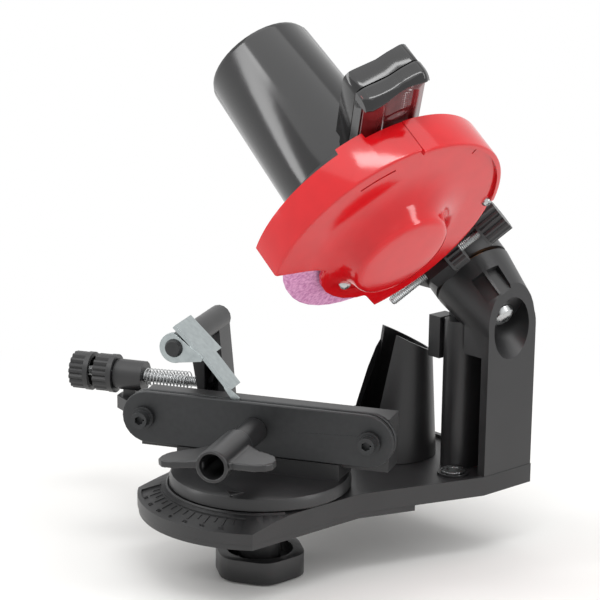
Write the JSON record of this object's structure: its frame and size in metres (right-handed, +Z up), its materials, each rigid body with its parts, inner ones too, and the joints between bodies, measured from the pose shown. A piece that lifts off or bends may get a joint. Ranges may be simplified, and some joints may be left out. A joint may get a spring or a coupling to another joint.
{
  "type": "electric chainsaw chain sharpener",
  "caption": "Bench grinder for saw chain: a motor head with a thin guarded wheel on a sprung hinge above a swivelling chain vise with a stop and a depth screw.",
  "frame": {"origin": "midway between the two bench bolts, on the flat underside that rests on the bench", "axes": "+Z up, +Y to the rear over the bench, +X to the operator's right"},
  "size_m": [0.2585, 0.2055, 0.2804],
  "materials": {
    "black_plastic": "satin black glass-filled plastic",
    "black_gloss_plastic": "glossy black plastic",
    "red_plastic": "glossy red plastic",
    "dark_red_plastic": "translucent dark red rocker",
    "dark_steel": "phosphated dark steel",
    "bright_steel": "bright plated steel",
    "zinc_sheet": "zinc-plated folded sheet",
    "bronze": "plain bronze",
    "copper_winding": "lacquered copper winding on a steel core",
    "pink_corundum": "pink bonded corundum, coarse and dry"
  },
  "bodies": {
    "base": {"base_housing": "black_plastic", "spark_deflector": "black_plastic", "hinge_bolt": "bright_steel", "hinge_nut": "bright_steel", "hinge_ring": "bronze", "bench_bush_left": "bright_steel", "bench_bush_right": "bright_steel", "lock_washer": "bright_steel"},
    "table": {"turntable": "black_plastic", "turntable_stud": "bright_steel", "rear_jaw_plate": "dark_steel", "jaw_screw_left": "dark_steel", "jaw_screw_right": "dark_steel", "clamp_stud": "bright_steel", "adjuster_spring": "bright_steel"},
    "front_jaw": {"front_jaw_plate": "dark_steel"},
    "clamp_knob": {"clamp_wing_knob": "black_plastic", "clamp_knob_insert": "bronze"},
    "lock_knob": {"turntable_lock_knob": "black_plastic", "lock_knob_insert": "bronze"},
    "carrier": {"stop_carrier": "black_plastic", "pivot_pin": "dark_steel"},
    "adjuster": {"adjuster_rod": "bright_steel", "adjuster_knob": "black_plastic"},
    "adjuster_lock": {"adjuster_lock_ring": "black_plastic"},
    "stop": {"chain_stop": "zinc_sheet"},
    "head": {"head_arm": "black_plastic", "hinge_bush": "bronze", "return_spring": "bright_steel", "motor_housing": "black_gloss_plastic", "stator_core": "dark_steel", "front_bearing": "bright_steel", "rear_bearing": "bright_steel", "wheel_guard": "red_plastic", "guard_front_cover": "red_plastic", "handle_front_shell": "black_gloss_plastic", "handle_rear_shell": "black_gloss_plastic"},
    "wheel": {"grinding_wheel": "pink_corundum", "arbor_shaft": "bright_steel", "inner_flange": "bright_steel", "outer_flange": "bright_steel", "arbor_nut": "bright_steel", "rotor": "copper_winding"},
    "rocker": {"switch_rocker": "dark_red_plastic"},
    "depth_screw": {"depth_rod": "bright_steel"},
    "depth_turner": {"depth_knob": "black_plastic"},
    "depth_lock": {"depth_lock_ring": "black_plastic"}
  },
  "joints": [
    {"name": "turntable_swivel", "type": "hinge", "parent": "base", "child": "table", "pos_m": [0, -0.09, 0.01], "axis": [0, 0, 1], "range_deg": [-60, 5]},
    {"name": "front_jaw_slide", "type": "slide", "parent": "table", "child": "front_jaw", "axis": [0.5, -0.866, 0], "range_m": [0, 0.001]},
    {"name": "clamp_turn", "type": "hinge", "parent": "front_jaw", "child": "clamp_knob", "pos_m": [0.02, -0.12464, 0.04095], "axis": [0.5, -0.866, 0], "range_deg": [0, 360]},
    {"name": "lock_knob_turn", "type": "hinge", "parent": "table", "child": "lock_knob", "pos_m": [0, -0.09, -0.03], "axis": [0, 0, 1], "range_deg": [-90, 90]},
    {"name": "stop_slide", "type": "slide", "parent": "table", "child": "carrier", "axis": [0.866, 0.5, 0], "range_m": [-0.004, 0.0015]},
    {"name": "adjuster_turn", "type": "hinge", "parent": "carrier", "child": "adjuster", "pos_m": [-0.10394, -0.08997, 0.043], "axis": [0.866, 0.5, 0], "range_deg": [-1440, 540]},
    {"name": "adjuster_lock_turn", "type": "hinge", "parent": "table", "child": "adjuster_lock", "pos_m": [-0.10394, -0.08997, 0.043], "axis": [0.866, 0.5, 0], "range_deg": [-90, 90]},
    {"name": "chain_stop_tilt", "type": "hinge", "parent": "carrier", "child": "stop", "pos_m": [-0.03604, -0.11658, 0.0778], "axis": [0.5, -0.866, 0], "range_deg": [0, 60]},
    {"name": "head_swing", "type": "hinge", "parent": "base", "child": "head", "pos_m": [0.03822, 0.0206, 0.10765], "axis": [-0.7896, 0, 0.6136], "range_deg": [-35, 0], "stiffness_Nm_per_rad": 3, "springref_deg": 34.38},
    {"name": "wheel_spin", "type": "hinge", "parent": "head", "child": "wheel", "pos_m": [0.07805, -0.08499, 0.15484], "axis": [0.7896, 0, -0.6136], "continuous": true},
    {"name": "rocker_press", "type": "hinge", "parent": "head", "child": "rocker", "pos_m": [0.0982, -0.10207, 0.21434], "axis": [0.2593, 0.9063, 0.3337], "range_deg": [-8, 8], "stiffness_Nm_per_rad": 0.2},
    {"name": "depth_screw_slide", "type": "slide", "parent": "head", "child": "depth_screw", "axis": [0.5045, 0.5693, 0.6492], "range_m": [-0.006, 0.006]},
    {"name": "depth_knob_turn", "type": "hinge", "parent": "depth_screw", "child": "depth_turner", "pos_m": [0.03499, -0.03489, 0.10269], "axis": [0.5045, 0.5693, 0.6492], "range_deg": [-2700, 2700]},
    {"name": "depth_lock_turn", "type": "hinge", "parent": "head", "child": "depth_lock", "pos_m": [0.03499, -0.03489, 0.10269], "axis": [0.5045, 0.5693, 0.6492], "range_deg": [-90, 90]}
  ],
  "couplings": [
    {"joint": "clamp_turn", "follows": "front_jaw_slide", "rad_per_m": 6283.2},
    {"joint": "adjuster_turn", "follows": "stop_slide", "rad_per_m": 6283.2},
    {"joint": "depth_knob_turn", "follows": "depth_screw_slide", "rad_per_m": 7854}
  ]
}
